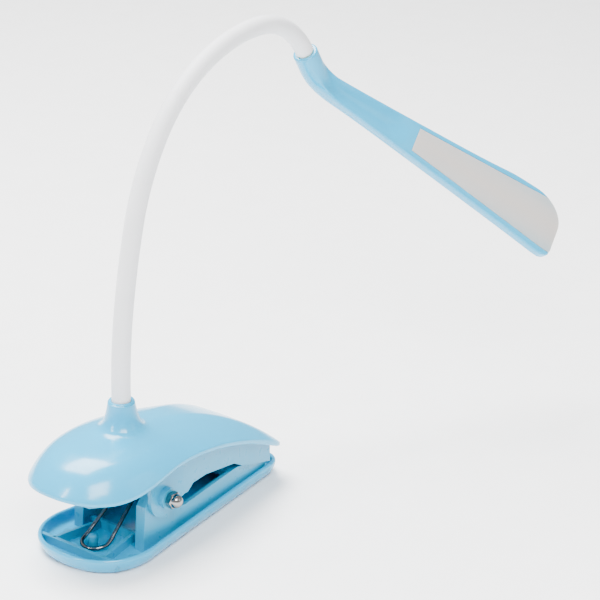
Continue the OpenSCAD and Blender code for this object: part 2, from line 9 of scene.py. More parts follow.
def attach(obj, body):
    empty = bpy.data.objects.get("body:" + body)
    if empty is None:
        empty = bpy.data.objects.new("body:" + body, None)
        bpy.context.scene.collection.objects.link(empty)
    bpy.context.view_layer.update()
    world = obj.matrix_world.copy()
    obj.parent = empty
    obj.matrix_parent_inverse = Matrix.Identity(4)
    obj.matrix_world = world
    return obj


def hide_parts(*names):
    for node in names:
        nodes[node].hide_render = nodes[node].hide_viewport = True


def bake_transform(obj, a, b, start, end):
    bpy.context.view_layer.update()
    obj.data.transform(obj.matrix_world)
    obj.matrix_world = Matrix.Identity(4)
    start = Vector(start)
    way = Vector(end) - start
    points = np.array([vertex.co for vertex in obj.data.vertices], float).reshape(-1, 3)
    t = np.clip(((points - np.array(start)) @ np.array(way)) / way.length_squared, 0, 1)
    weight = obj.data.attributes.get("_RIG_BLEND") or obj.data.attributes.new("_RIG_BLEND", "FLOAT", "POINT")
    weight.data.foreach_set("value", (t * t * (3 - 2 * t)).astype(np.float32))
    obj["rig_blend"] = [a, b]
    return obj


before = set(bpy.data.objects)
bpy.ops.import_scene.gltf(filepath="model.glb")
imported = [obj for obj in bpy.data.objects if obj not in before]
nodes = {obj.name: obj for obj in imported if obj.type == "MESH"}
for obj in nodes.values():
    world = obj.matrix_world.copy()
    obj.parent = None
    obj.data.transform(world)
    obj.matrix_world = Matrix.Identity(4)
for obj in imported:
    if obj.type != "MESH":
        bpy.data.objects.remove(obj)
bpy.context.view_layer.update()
MM = 0.001

# ---------------------------------------------------------------- helpers


def make(name, verts_mm, faces, body, slot, mat, replaces=()):
    """A mesh piece from points in millimetres, riding on a CAD body."""
    me = bpy.data.meshes.new(name)
    me.from_pydata([tuple(c * MM for c in v) for v in verts_mm], [], [tuple(f) for f in faces])
    me.update()
    ob = bpy.data.objects.new(name, me)
    bpy.context.scene.collection.objects.link(ob)
    bm = bmesh.new()
    bm.from_mesh(me)
    bmesh.ops.remove_doubles(bm, verts=bm.verts, dist=1e-6)
    bmesh.ops.recalc_face_normals(bm, faces=bm.faces)
    bm.to_mesh(me)
    bm.free()
    for p in me.polygons:
        p.use_smooth = True
    me.materials.append(mat)
    finish_piece(ob, body, replaces)
    return ob


def finish_piece(ob, body, replaces):
    if body:
        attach(ob, body)
    if replaces:
        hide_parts(*replaces)


def apply_mods(ob):
    """Bakes the modifiers into the mesh."""
    bpy.context.view_layer.update()
    deps = bpy.context.evaluated_depsgraph_get()
    me = bpy.data.meshes.new_from_object(ob.evaluated_get(deps))
    mats = [m for m in ob.data.materials]
    ob.modifiers.clear()
    old = ob.data
    ob.data = me
    if not me.materials:
        for m in mats:
            me.materials.append(m)
    bpy.data.meshes.remove(old)


def bevel(ob, width_mm, segments=2, angle=32):
    m = ob.modifiers.new("bevel", "BEVEL")
    m.width = width_mm * MM
    m.segments = segments
    m.limit_method = "ANGLE"
    m.angle_limit = math.radians(angle)
    m.harden_normals = True
    m.miter_outer = "MITER_ARC"
    w = ob.modifiers.new("even_shade", "WEIGHTED_NORMAL")
    w.keep_sharp = True
    w.weight = 80
    apply_mods(ob)


def soft_from_cad(node, body, mat, width_mm, segments=2, angle=32):
    """A copy of a CAD solid with its sharp edges rounded over, standing for it."""
    src = nodes[node]
    me = src.data.copy()
    me.name = node + "_soft"
    me.materials.clear()
    ob = bpy.data.objects.new(node + "_soft", me)
    bpy.context.scene.collection.objects.link(ob)
    bm = bmesh.new()
    bm.from_mesh(me)
    bmesh.ops.remove_doubles(bm, verts=bm.verts, dist=2e-6)
    bmesh.ops.dissolve_limit(bm, angle_limit=math.radians(1.0), verts=bm.verts, edges=bm.edges)
    bm.to_mesh(me)
    bm.free()
    for p in me.polygons:
        p.use_smooth = True
    me.materials.append(mat)
    bevel(ob, width_mm, segments, angle)
    finish_piece(ob, body, (node,))
    return ob


def rings_mesh(rings, cap_first=False, cap_last=False):
    """Faces between equal closed rings of points."""
    n = len(rings[0])
    verts = [p for r in rings for p in r]
    faces = []
    for j in range(len(rings) - 1):
        for i in range(n):
            k = (i + 1) % n
            faces.append((j * n + i, j * n + k, (j + 1) * n + k, (j + 1) * n + i))
    if cap_first:
        faces.append(tuple(reversed(range(n))))
    if cap_last:
        faces.append(tuple(range((len(rings) - 1) * n, len(rings) * n)))
    return verts, faces


def joined(parts):
    """One vertex and face list from several."""
    verts, faces = [], []
    for v, f in parts:
        k = len(verts)
        verts += list(v)
        faces += [tuple(i + k for i in face) for face in f]
    return verts, faces


def smooth01(t):
    t = min(1.0, max(0.0, t))
    return t * t * (3 - 2 * t)


def spow(v, e):
    return math.copysign(abs(v) ** e, v)


def unit(v):
    v = np.array(v, float)
    return v / np.linalg.norm(v)


# ---------------------------------------------------------------- materials


class Mat:
    """A small builder for procedural materials."""

    def __init__(self, name):
        self.m = bpy.data.materials.new(name)
        self.m.use_nodes = True
        self.t = self.m.node_tree
        self.b = self.t.nodes["Principled BSDF"]

    def set(self, **values):
        for key, value in values.items():
            self.b.inputs[key.replace("_", " ")].default_value = value
        return self

    def node(self, kind, **props):
        n = self.t.nodes.new(kind)
        for key, value in props.items():
            setattr(n, key, value)
        return n

    def link(self, a, b):
        self.t.links.new(a, b)

    def coords(self, scale=(1, 1, 1)):
        tc = self.node("ShaderNodeTexCoord")
        mp = self.node("ShaderNodeMapping")
        mp.inputs["Scale"].default_value = scale
        self.link(tc.outputs["Object"], mp.inputs["Vector"])
        return mp.outputs["Vector"]

    def noise(self, vec, scale, detail=4.0, rough=0.5):
        n = self.node("ShaderNodeTexNoise")
        n.inputs["Scale"].default_value = scale
        n.inputs["Detail"].default_value = detail
        n.inputs["Roughness"].default_value = rough
        self.link(vec, n.inputs["Vector"])
        return n.outputs["Fac"]

    def ramp(self, fac, stops):
        r = self.node("ShaderNodeValToRGB")
        while len(r.color_ramp.elements) < len(stops):
            r.color_ramp.elements.new(0.5)
        for e, (pos, col) in zip(r.color_ramp.elements, stops):
            e.position = pos
            e.color = (*col, 1) if len(col) == 3 else col
        self.link(fac, r.inputs["Fac"])
        return r.outputs["Color"]

    def spread(self, fac, lo, hi, socket):
        r = self.node("ShaderNodeMapRange")
        r.inputs["From Min"].default_value = 0.3
        r.inputs["From Max"].default_value = 0.7
        r.inputs["To Min"].default_value = lo
        r.inputs["To Max"].default_value = hi
        self.link(fac, r.inputs["Value"])
        self.link(r.outputs["Result"], self.b.inputs[socket])

    def bump(self, fac, strength, distance_mm):
        b = self.node("ShaderNodeBump")
        b.inputs["Strength"].default_value = strength
        b.inputs["Distance"].default_value = distance_mm * MM
        self.link(fac, b.inputs["Height"])
        self.link(b.outputs["Normal"], self.b.inputs["Normal"])


# ---------------------------------------------------------------- where the neck and the head lie
ARC, TURN = 37.2, (8.6, 6.5, 19.6, 28.8, 27.0, 58.4)


def neck_at(s):
    """Point and heading (degrees) at distance s along the neck's centre line."""
    x, z, h = 0.0, 62.0, 90.0
    for k, t in enumerate(TURN):
        rad = ARC / math.radians(t)
        a = math.radians(h)
        cx, cz = x + rad * math.sin(a), z - rad * math.cos(a)
        d = min(ARC, s - k * ARC)
        turn = math.degrees(d / rad)
        a2 = math.radians(h - turn)
        if s <= (k + 1) * ARC or k == 5:
            return np.array([cx - rad * math.sin(a2), 0.0, cz + rad * math.cos(a2)]), h - turn
        x, z, h = cx - rad * math.sin(a2), cz + rad * math.cos(a2), h - t
    return None


END, HEAD = neck_at(6 * ARC)
BEND, TURN_B, ROLL = math.radians(36.05), math.radians(22.17), math.radians(16.5)
h = math.radians(HEAD)
C_DIR = np.array([math.cos(h), 0, math.sin(h)])
C_UP = np.array([-math.sin(h), 0, math.cos(h)])
B_DIR = math.cos(TURN_B) * np.array([0, -1.0, 0]) + math.sin(TURN_B) * C_UP
ORIGIN = END + C_DIR * 0.6
BLADE = math.cos(BEND) * C_DIR + math.sin(BEND) * B_DIR
FLAT_FACE = -math.sin(BEND) * C_DIR + math.cos(BEND) * B_DIR
AXIS = np.cross(BLADE, FLAT_FACE)
FACE = math.cos(ROLL) * FLAT_FACE + math.sin(ROLL) * AXIS
SIDE = np.cross(BLADE, FACE)
ROOT, ROOT_ARC = 8.4, 18.0
ROOT_S = ROOT + ROOT_ARC
RAD = ROOT_ARC / BEND
B_ORG = ORIGIN + C_DIR * ROOT + RAD * (math.sin(BEND) * C_DIR + (1 - math.cos(BEND)) * B_DIR)


def moulded_plastic(name, light, dark, rough=(0.16, 0.24), coat=0.35, scale=260.0):
    """Injection-moulded gloss plastic: faint flow marks, fine orange peel, a hard clear skin."""
    m = Mat(name)
    vec = m.coords()
    flow = m.noise(vec, 22.0, 3.0, 0.45)
    m.link(m.ramp(flow, [(0.3, dark), (0.7, light)]), m.b.inputs["Base Color"])
    m.spread(m.noise(vec, scale, 4.0), rough[0], rough[1], "Roughness")
    m.bump(m.noise(vec, 900.0, 2.0), 0.05, 0.03)
    m.set(IOR=1.49, Coat_Weight=coat, Coat_Roughness=0.06, Subsurface_Weight=0.04, Subsurface_Scale=0.0015)
    m.b.inputs["Subsurface Radius"].default_value = (0.4, 0.8, 1.0)
    return m.m


def metal(name, light, dark, rough=(0.12, 0.25), streak=(1, 1, 1), scale=700.0, bump=0.08):
    m = Mat(name)
    vec = m.coords(streak)
    grain = m.noise(vec, scale, 5.0, 0.6)
    m.link(m.ramp(grain, [(0.3, dark), (0.7, light)]), m.b.inputs["Base Color"])
    m.spread(grain, rough[0], rough[1], "Roughness")
    m.bump(grain, bump, 0.02)
    m.set(Metallic=1.0, IOR=2.2)
    return m.m


BLUE = moulded_plastic("sky_blue_plastic", (0.001, 0.330, 0.570), (0.001, 0.318, 0.553), coat=0.14)
# a darker copy of the same blue plastic for the inner walls, the spring peg and the upper block: painted
# shade for the clip's shadowed inside
BLUE_PAINTED_SHADE = moulded_plastic("sky_blue_plastic_painted_shade", (0.001, 0.262, 0.440), (0.001, 0.250, 0.425),
                         rough=(0.26, 0.36), coat=0.04)
CHROME = metal("nickel_plate", (0.30, 0.29, 0.285), (0.22, 0.215, 0.21), rough=(0.07, 0.16), bump=0.03)
WIRE = metal("spring_wire", (0.20, 0.21, 0.22), (0.14, 0.145, 0.155), rough=(0.14, 0.24), scale=1200.0)
STEEL = metal("core_strip", (0.55, 0.56, 0.58), (0.46, 0.47, 0.49), rough=(0.28, 0.42))
BRASS = metal("turned_brass", (0.80, 0.64, 0.34), (0.70, 0.55, 0.28), rough=(0.18, 0.3), streak=(1, 1, 14))
FOIL = metal("cell_foil", (0.72, 0.73, 0.75), (0.62, 0.63, 0.66), rough=(0.3, 0.5), scale=90.0, bump=0.4)
WHITE_BOARD = moulded_plastic("white_board", (0.88, 0.88, 0.86), (0.84, 0.84, 0.82),
                             rough=(0.4, 0.5), coat=0.1)
BUTTON = moulded_plastic("button_white", (0.86, 0.88, 0.90), (0.82, 0.84, 0.87), rough=(0.3, 0.4), coat=0.1)


def silicone_material():
    m = Mat("satin_silicone")
    vec = m.coords()
    tone = m.ramp(m.noise(vec, 30.0, 3.0), [(0.3, (0.66, 0.665, 0.685)), (0.7, (0.70, 0.703, 0.718))])
    m.link(tone, m.b.inputs["Base Color"])
    m.spread(m.noise(vec, 420.0, 5.0, 0.6), 0.48, 0.62, "Roughness")
    m.bump(m.noise(vec, 1500.0, 3.0), 0.12, 0.03)
    m.set(IOR=1.41, Subsurface_Weight=0.2, Subsurface_Scale=0.003, Sheen_Weight=0.12, Sheen_Roughness=0.4)
    m.b.inputs["Subsurface Radius"].default_value = (1.0, 0.95, 0.9)
    return m.m


def diffuser_material():
    """Milky sheet: a little warmer along the middle, cooler at the edges, with a fine frosted grain."""
    m = Mat("milky_diffuser")
    tc = m.node("ShaderNodeTexCoord")
    across = m.node("ShaderNodeVectorMath", operation="DOT_PRODUCT")
    across.inputs[1].default_value = [float(v) / 0.027 for v in SIDE]
    m.link(tc.outputs["Object"], across.inputs[0])
    vec = m.coords()
    off = m.node("ShaderNodeMath", operation="SUBTRACT")
    off.inputs[1].default_value = float(B_ORG @ SIDE) * MM / 0.027
    m.link(across.outputs["Value"], off.inputs[0])
    edge = m.node("ShaderNodeMath", operation="ABSOLUTE")
    m.link(off.outputs[0], edge.inputs[0])
    grain = m.noise(vec, 240.0, 4.0)
    add = m.node("ShaderNodeMath", operation="MULTIPLY_ADD")
    add.inputs[1].default_value = 0.06
    m.link(grain, add.inputs[0])
    m.link(edge.outputs[0], add.inputs[2])
    tones = [(0.05, (0.46, 0.425, 0.40)), (0.26, (0.43, 0.425, 0.415)), (0.50, (0.30, 0.385, 0.42))]
    colour = m.ramp(add.outputs[0], tones)
    m.link(colour, m.b.inputs["Base Color"])
    m.spread(m.noise(vec, 900.0, 3.0), 0.36, 0.5, "Roughness")
    m.bump(m.noise(vec, 1300.0, 2.0), 0.15, 0.03)
    m.set(IOR=1.49, Subsurface_Weight=0.35, Subsurface_Scale=0.004)
    m.b.inputs["Subsurface Radius"].default_value = (1.0, 0.95, 0.85)
    return m.m


def guide_material():
    m = Mat("clear_guide")
    vec = m.coords()
    dots = m.node("ShaderNodeTexVoronoi")
    dots.inputs["Scale"].default_value = 700.0
    m.link(vec, dots.inputs["Vector"])
    tone = m.ramp(dots.outputs["Distance"], [(0.2, (0.95, 0.96, 0.96)), (0.6, (0.86, 0.89, 0.90))])
    m.link(tone, m.b.inputs["Base Color"])
    m.spread(m.noise(vec, 300.0), 0.08, 0.16, "Roughness")
    m.set(IOR=1.49, Transmission_Weight=0.6)
    return m.m


def board_material():
    m = Mat("solder_mask_green")
    vec = m.coords()
    brick = m.node("ShaderNodeTexVoronoi", feature="DISTANCE_TO_EDGE")
    brick.inputs["Scale"].default_value = 420.0
    m.link(vec, brick.inputs["Vector"])
    tone = m.ramp(brick.outputs["Distance"], [(0.03, (0.10, 0.36, 0.18)), (0.10, (0.03, 0.20, 0.09))])
    m.link(tone, m.b.inputs["Base Color"])
    m.spread(m.noise(vec, 500.0), 0.25, 0.4, "Roughness")
    m.set(IOR=1.5)
    return m.m


def phosphor_material():
    m = Mat("lamp_phosphor")
    vec = m.coords()
    tone = m.ramp(m.noise(vec, 1800.0), [(0.3, (0.86, 0.70, 0.22)), (0.7, (0.95, 0.83, 0.36))])
    m.link(tone, m.b.inputs["Base Color"])
    m.spread(m.noise(vec, 900.0), 0.3, 0.45, "Roughness")
    return m.m


SILICONE = silicone_material()
MILK = diffuser_material()
GUIDE = guide_material()
BOARD = board_material()
PHOSPHOR = phosphor_material()


def carry(node, mat):
    me = nodes[node].data
    me.materials.clear()
    me.materials.append(mat)


for k in range(1, 7):
    carry(f"core_{k}", STEEL)
for n in ("base_ferrule", "head_ferrule"):
    carry(n, BRASS)
for n in ("cover_screws", "neck_anchor", "head_screws", "bolt_washer"):
    carry(n, CHROME)
carry("battery", FOIL)
carry("control_board", BOARD)
carry("charge_port", STEEL)
carry("light_guide", GUIDE)
carry("led_board", WHITE_BOARD)
carry("leds", PHOSPHOR)

# ---------------------------------------------------------------- clip, lower half
PIVOT = (1.4, 24.0)
EAR_IN, EAR_OUT = 14.8, 19.8
BOSS_OUT = 24.6
REAR_X, NOSE_X = -38.6, 88.4


def jaw_hw(x):
    if x < -13:
        return 27.1 * max(0.0, 1 - ((-13 - x) / (-13 - REAR_X)) ** 2.3) ** (1 / 2.3)
    return 27.1 - 12.6 * ((x + 13) / 93) ** 0.95


def jaw_outline():
    side = []
    for i in range(29):
        a = math.radians(90 * i / 28)
        x = -13 - (-13 - REAR_X) * math.cos(a)
        side.append((x, jaw_hw(x)))
    for i in range(1, 33):
        x = -13 + 91 * i / 32
        side.append((x, jaw_hw(x)))
    for i in range(1, 18):
        a = math.radians(90 * i / 18)
        side.append((78 + (NOSE_X - 78) * math.sin(a), jaw_hw(78) * math.cos(a) ** 0.55))
    side.append((NOSE_X, 0.0))
    back = [(x, -y) for x, y in reversed(side[1:-1])]
    return np.array(side + back)


def even(pts, n):
    """The same closed outline with n evenly spaced points, kept smooth."""
    p = np.vstack([pts, pts[:1]])
    d = np.r_[0, np.cumsum(np.hypot(*np.diff(p, axis=0).T))]
    t = np.linspace(0, d[-1], n, endpoint=False)
    q = np.c_[np.interp(t, d, p[:, 0]), np.interp(t, d, p[:, 1])]
    for _ in range(2):
        q = 0.25 * np.roll(q, 1, 0) + 0.5 * q + 0.25 * np.roll(q, -1, 0)
    return q


def inward(q):
    t = np.roll(q, -1, 0) - np.roll(q, 1, 0)
    t /= np.linalg.norm(t, axis=1)[:, None]
    n = np.c_[-t[:, 1], t[:, 0]]
    centre = q.mean(0)
    if ((centre - q) * n).sum() < 0:
        n = -n
    for _ in range(3):
        n = 0.25 * np.roll(n, 1, 0) + 0.5 * n + 0.25 * np.roll(n, -1, 0)
    return n / np.linalg.norm(n, axis=1)[:, None]


def tray():
    q = even(jaw_outline(), 220)
    n = inward(q)
    # (inset from the outline, height), from the floor outside, over the rim, to the floor inside
    outside = [(5.0, 0.0), (4.3, 0.0), (3.6, 0.16), (2.8, 0.62), (2.05, 1.3), (1.4, 2.15), (0.8, 3.2),
               (0.32, 4.4), (0.06, 5.5), (0.0, 6.1)]
    rim = [(0.12, 6.65), (0.45, 7.15), (0.95, 7.38), (1.45, 7.25), (1.78, 6.85)]
    within = [(1.95, 6.2), (2.15, 4.9), (2.5, 3.4), (2.9, 2.6), (3.5, 2.25), (4.6, 2.2)]
    profile = outside + rim + within
    rings = [[(*(p + d * m), z) for p, m in zip(q, n)] for d, z in profile]
    return rings_mesh(rings, True, True)


def plate(poly, y0, y1):
    """A plate with a side view in X and Z; y0 and y1 are numbers or functions of x."""
    f0 = y0 if callable(y0) else (lambda x: y0)
    f1 = y1 if callable(y1) else (lambda x: y1)
    n = len(poly)
    verts = [(x, f0(x), z) for x, z in poly] + [(x, f1(x), z) for x, z in poly]
    faces = [tuple(range(n)), tuple(reversed(range(n, 2 * n)))]
    faces += [(i, (i + 1) % n, (i + 1) % n + n, i + n) for i in range(n)]
    return verts, faces


def block(lo, hi):
    return plate([(lo[0], lo[2]), (hi[0], lo[2]), (hi[0], hi[2]), (lo[0], hi[2])], lo[1], hi[1])


def prism(poly, z0, z1):
    n = len(poly)
    verts = [(x, y, z0) for x, y in poly] + [(x, y, z1) for x, y in poly]
    faces = [tuple(range(n)), tuple(reversed(range(n, 2 * n)))]
    faces += [(i, (i + 1) % n, (i + 1) % n + n, i + n) for i in range(n)]
    return verts, faces


def arc_pts(cx, cz, r, a0, a1, n):
    angles = [math.radians(a0 + (a1 - a0) * i / n) for i in range(n + 1)]
    return [(cx + r * math.cos(a), cz + r * math.sin(a)) for a in angles]


def turned(profile, centre, axis, n=48):
    """A closed turned solid: profile of (radius, distance along the axis)."""
    axis = unit(axis)
    ref = np.array([0, 0, 1.0]) if abs(axis[2]) < 0.9 else np.array([1.0, 0, 0])
    u = unit(np.cross(axis, ref))
    v = np.cross(axis, u)
    c = np.array(centre, float)
    around = [2 * math.pi * i / n for i in range(n)]
    rings = [[tuple(c + axis * h + r * (math.cos(a) * u + math.sin(a) * v)) for a in around]
             for r, h in profile]
    return rings_mesh(rings, True, True)


def wall_out(x):
    return EAR_OUT if x <= 8 else EAR_OUT - 7.4 * (x - 8) / 69.5


def signed(f, s):
    return lambda x: s * f(x)


make("tray_shell", *tray(), "base", "blue_plastic", BLUE, ("lower_jaw",))

inner = []
for s in (-1, 1):
    ear = [(-10.4, 1.5), (-8.6, 22.0), *arc_pts(*PIVOT, 7.0, 168, 10, 12), (9.2, 17.0), (9.5, 1.5)]
    inner.append(plate(ear, s * EAR_IN, s * EAR_OUT))
    wall = [(8.6, 1.5), (8.6, 15.4), (17, 13.4), (24, 13.6), (40, 14.2), (56, 14.6), (60, 13.7),
            (77.5, 8.5), (77.5, 1.5)]
    inner.append(plate(wall, signed(wall_out, s), signed(lambda x: wall_out(x) - 2.0, s)))
    inner.append(prism([(-28.5, s * 13.2), (-28.5, s * 14.8), (-4.6, s * 10.2), (-4.6, s * 8.6)], 1.8, 6.0))
    # shallow pads that carry the ejector marks in the floor
    inner.append(turned([(1.6, 0), (1.6, 0.28), (1.35, 0.34)], (-16, s * 18.5, 2.1), (0, 0, 1), 28))
pad = [(50.5, 11.3), (50.5, 14.3), (56, 14.5), (60, 13.6)]
for i in range(4):
    x = 63.5 + 3.6 * i
    top = 13.7 - 0.297 * (x - 60)
    pad += [(x, top), (x, top - 0.7), (x + 1.2, top - 1.05), (x + 1.2, top - 0.36)]
pad += [(77.4, 8.5), (77.4, 2.0), (75.4, 2.0), (75.4, 6.9), (60, 11.6)]
inner.append(plate(pad, lambda x: -(wall_out(x) - 0.4), lambda x: wall_out(x) - 0.4))
inner.append(block((-29.2, -22.4, 2.0), (-27.6, 22.4, 6.0)))
inner.append(block((-5.6, -15.6, 1.8), (-4.0, 15.6, 6.4)))
# the inner walls take the darker blue, which is painted shade
inner_ob = make("jaw_walls", *joined(inner), "base", "blue_plastic", BLUE_PAINTED_SHADE, ("lower_jaw",))
bevel(inner_ob, 0.35, 3)
peg = turned([(2.0, 0), (2.0, 5.6), (1.85, 6.2), (1.4, 6.7), (0.7, 6.9)], (-19.5, 0, 1.5), (0, 0, 1), 40)
# the peg takes the darker blue too, which is painted shade
make("spring_peg", *peg, "base", "blue_plastic", BLUE_PAINTED_SHADE, ("lower_jaw",))

# ---------------------------------------------------------------- pivot hardware


def acorn_nut():
    y0 = -BOSS_OUT - 0.3
    c = np.array([PIVOT[0], y0, PIVOT[1]])
    n = 72
    rings = []

    def hexr(a, flat):
        return flat / math.cos((a % (math.pi / 3)) - math.pi / 6)

    def ring(fun, h):
        around = [2 * math.pi * i / n for i in range(n)]
        return [tuple(c + np.array([fun(a) * math.cos(a), -h, fun(a) * math.sin(a)])) for a in around]

    flat = 3.3
    rings.append(ring(lambda a: 1.52, 0.0))
    rings.append(ring(lambda a: min(hexr(a, flat), 3.35), 0.0))
    rings.append(ring(lambda a: min(hexr(a, flat), 3.6), 0.14))
    rings.append(ring(lambda a: hexr(a, flat), 0.35))
    rings.append(ring(lambda a: hexr(a, flat), 2.3))
    rings.append(ring(lambda a: min(hexr(a, flat), 3.6), 2.5))
    rings.append(ring(lambda a: 3.25, 2.66))
    rings.append(ring(lambda a: 3.05, 2.74))
    for t in range(0, 10):
        a = math.radians(9.5 * t)
        rings.append(ring(lambda _, r=3.0 * math.cos(a): r, 2.85 + 3.05 * math.sin(a)))
    return rings_mesh(rings, True, True)


nut = make("cap_nut_soft", *acorn_nut(), "base", "plated_steel", CHROME, ("cap_nut",))
bevel(nut, 0.12, 2, 28)
soft_from_cad("hinge_bolt", "base", CHROME, 0.2, 2, 40)

# ---------------------------------------------------------------- torsion spring
COIL_R, TURNS, COIL_IN, LEG_Y, WIRE_R = 4.3, 3.375, 4.2, 12.0, 0.85
LOOP_X, LOOP_Z = -17.0, 4.5


def sweep(path, r, m=14):
    """A round wire along a path."""
    p = np.array(path, float)
    t = np.gradient(p, axis=0)
    t /= np.linalg.norm(t, axis=1)[:, None]
    n = unit(np.cross(t[0], [0.0, 1.0, 0.3]))
    around = [2 * math.pi * j / m for j in range(m)]
    rings = []
    for pi, ti in zip(p, t):
        n = unit(n - np.dot(n, ti) * ti)
        b = np.cross(ti, n)
        rings.append([tuple(pi + r * (math.cos(a) * n + math.sin(a) * b)) for a in around])
    return rings_mesh(rings, True, True)


def rounded(points, step, reach):
    """A path through the points with rounded corners."""
    pts = [np.array(p, float) for p in points]
    out = [pts[0]]
    for a, b, c in zip(pts[:-2], pts[1:-1], pts[2:]):
        k = min(reach, 0.45 * np.linalg.norm(b - a), 0.45 * np.linalg.norm(c - b))
        p0, p2 = b + unit(a - b) * k, b + unit(c - b) * k
        for i in range(9):
            u = i / 8
            out.append((1 - u) ** 2 * p0 + 2 * u * (1 - u) * b + u * u * p2)
    out.append(pts[-1])
    fine = [out[0]]
    for a, b in zip(out[:-1], out[1:]):
        k = max(1, int(np.linalg.norm(b - a) / step))
        fine += [a + (b - a) * (i + 1) / k for i in range(k)]
    return fine


def coil(s):
    """One side's coil, wound inward from LEG_Y to COIL_IN."""
    pts = []
    for i in range(121):
        t = TURNS * i / 120
        a = math.radians(90 - 360 * t)
        y = s * (LEG_Y - (LEG_Y - COIL_IN) * t / TURNS)
        pts.append((PIVOT[0] + COIL_R * math.cos(a), y, PIVOT[1] + COIL_R * math.sin(a)))
    return pts


def other_side(pts):
    return [(x, -y, z) for x, y, z in reversed(pts)]


end = coil(1)[-1]
loop_right = [(end[0] + (LOOP_X - end[0]) * u, COIL_IN + 2.2 * u, end[2] + (LOOP_Z - end[2]) * u)
              for u in (0.12, 0.5, 0.93)]
bend = [math.radians(a) for a in range(10, 171, 10)]
loop = [(LOOP_X - 6.6 * math.sin(a), 6.4 * math.cos(a), LOOP_Z - 0.9 * math.sin(a)) for a in bend]
lower = coil(1) + loop_right + loop + other_side(loop_right) + other_side(coil(1))
wire = sweep(rounded(lower, 0.8, 1.2), WIRE_R)
make("spring_coils", *wire, "base", "spring_steel", WIRE, ("torsion_spring",))
legs = []
for s in (-1, 1):
    top = PIVOT[1] + COIL_R
    leg = [(PIVOT[0] - 24.5 + 1.25 * i, s * LEG_Y, top + 0.22 * (1 - i / 20) ** 1.5) for i in range(20)]
    legs.append(sweep(leg + [(PIVOT[0] - 0.2, s * LEG_Y, top)], WIRE_R))
make("spring_legs", *joined(legs), "clip_top", "spring_steel", WIRE, ("torsion_spring",))

# ---------------------------------------------------------------- cover
COLLAR_R, COLLAR_TOP, NECK_BORE = 5.55, 62.35, 4.06
FLARE_END, FOOT_END, FOOT_RISE = 15.0, 26.0, 1.75
CREST, EDGE_T, COVER_T, COVER_HALF = 49.0, 1.8, 2.0, 28.5
COVER_REAR, COVER_FRONT, WIDE_X, EDGE_TOP = -44.0, 85.5, -8.0, 38.3
TOP_R = 19.3  # rings are round out to here and follow the outline beyond it


def cover_hw(x):
    if x < WIDE_X:
        return COVER_HALF * max(0.0, 1 - ((WIDE_X - x) / (WIDE_X - COVER_REAR)) ** 2.3) ** (1 / 2.3)
    return COVER_HALF - 11.3 * ((x - WIDE_X) / (COVER_FRONT - WIDE_X)) ** 1.35


def edge_z(x):
    if x < 8:
        return EDGE_TOP - 5.5 * (1 - math.cos(math.pi * (8 - x) / 38)) / 2
    return EDGE_TOP - 0.01239 * (x - 8) ** 1.744


def inside(r, a):
    x, y = r * math.cos(a), abs(r * math.sin(a))
    return COVER_REAR < x < COVER_FRONT - y * y / 200 and y < cover_hw(x)


def find_r(a):
    lo, hi = 10.0, 100.0
    for _ in range(26):
        mid = (lo + hi) / 2
        lo, hi = (mid, hi) if inside(mid, a) else (lo, mid)
    return lo


def flare(r):
    steep = max(0.0, FLARE_END - r) / (FLARE_END - COLLAR_R)
    foot = max(0.0, FOOT_END - r) / (FOOT_END - COLLAR_R)
    return (COLLAR_TOP - CREST - FOOT_RISE) * steep ** 5 + FOOT_RISE * foot ** 2.5


def cover_rings():
    n = 200
    angs = [2 * math.pi * i / n for i in range(n)]
    angs = [t - math.radians(14) * math.sin(2 * t) for t in angs]
    R = np.array([find_r(a) for a in angs])
    for _ in range(2):
        R = 0.25 * np.roll(R, 1) + 0.5 * R + 0.25 * np.roll(R, -1)
    R -= 0.03  # keeps the skin inside the solid's box
    top = [edge_z(r * math.cos(a)) + EDGE_T for r, a in zip(R, angs)]

    def surf(rs, drop):
        out = []
        for r, rr, a, t in zip(rs, R, angs, top):
            full = 3.95 - 1.55 * math.tanh(r * math.cos(a) / 20)
            z = CREST - (CREST - t) * (r / rr) ** full + (0.0 if drop else flare(r)) - drop
            out.append((r * math.cos(a), r * math.sin(a), z))
        return out

    def edge(inset, up):
        return [((rr - inset) * math.cos(a), (rr - inset) * math.sin(a), edge_z(rr * math.cos(a)) + up)
                for rr, a in zip(R, angs)]

    def flat(r, z):
        return [(r * math.cos(a), r * math.sin(a), z) for a in angs]

    rings = [flat(NECK_BORE, 54.0), flat(NECK_BORE, 61.9), flat(4.2, 62.2), flat(4.5, COLLAR_TOP),
             flat(5.0, 62.38), flat(5.3, 62.25), flat(5.5, 61.95), flat(5.56, 61.6)]
    for r in (5.64, 5.75, 5.9, 6.1, 6.35, 6.65, 7.0, 7.4, 7.9, 8.5, 9.2, 10.1, 11.2, 12.5, 14.0, 15.6,
              17.4, TOP_R):
        rings.append(surf([r] * n, 0.0))
    for u in (0.05, 0.11, 0.18, 0.26, 0.34, 0.42, 0.5, 0.58, 0.66, 0.74, 0.81, 0.87, 0.92, 0.96, 0.985):
        rings.append(surf(TOP_R + (R - TOP_R) * u, 0.0))
    rings += [edge(0.05, EDGE_T * 0.93), edge(0.0, EDGE_T * 0.72), edge(0.0, EDGE_T * 0.45)]
    rings += [edge(0.12, 0.28), edge(0.4, 0.06), edge(0.9, 0.0), edge(1.5, 0.08), edge(2.0, 0.35)]
    for u in (0.95, 0.8, 0.6, 0.4, 0.2):
        rings.append(surf(TOP_R + (R - 1.5 - TOP_R) * u, COVER_T))
    rings.append(surf([11.0] * n, COVER_T))
    rings.append(flat(NECK_BORE, 46.8))
    rings.append(flat(NECK_BORE, 54.0))
    return rings_mesh(rings)


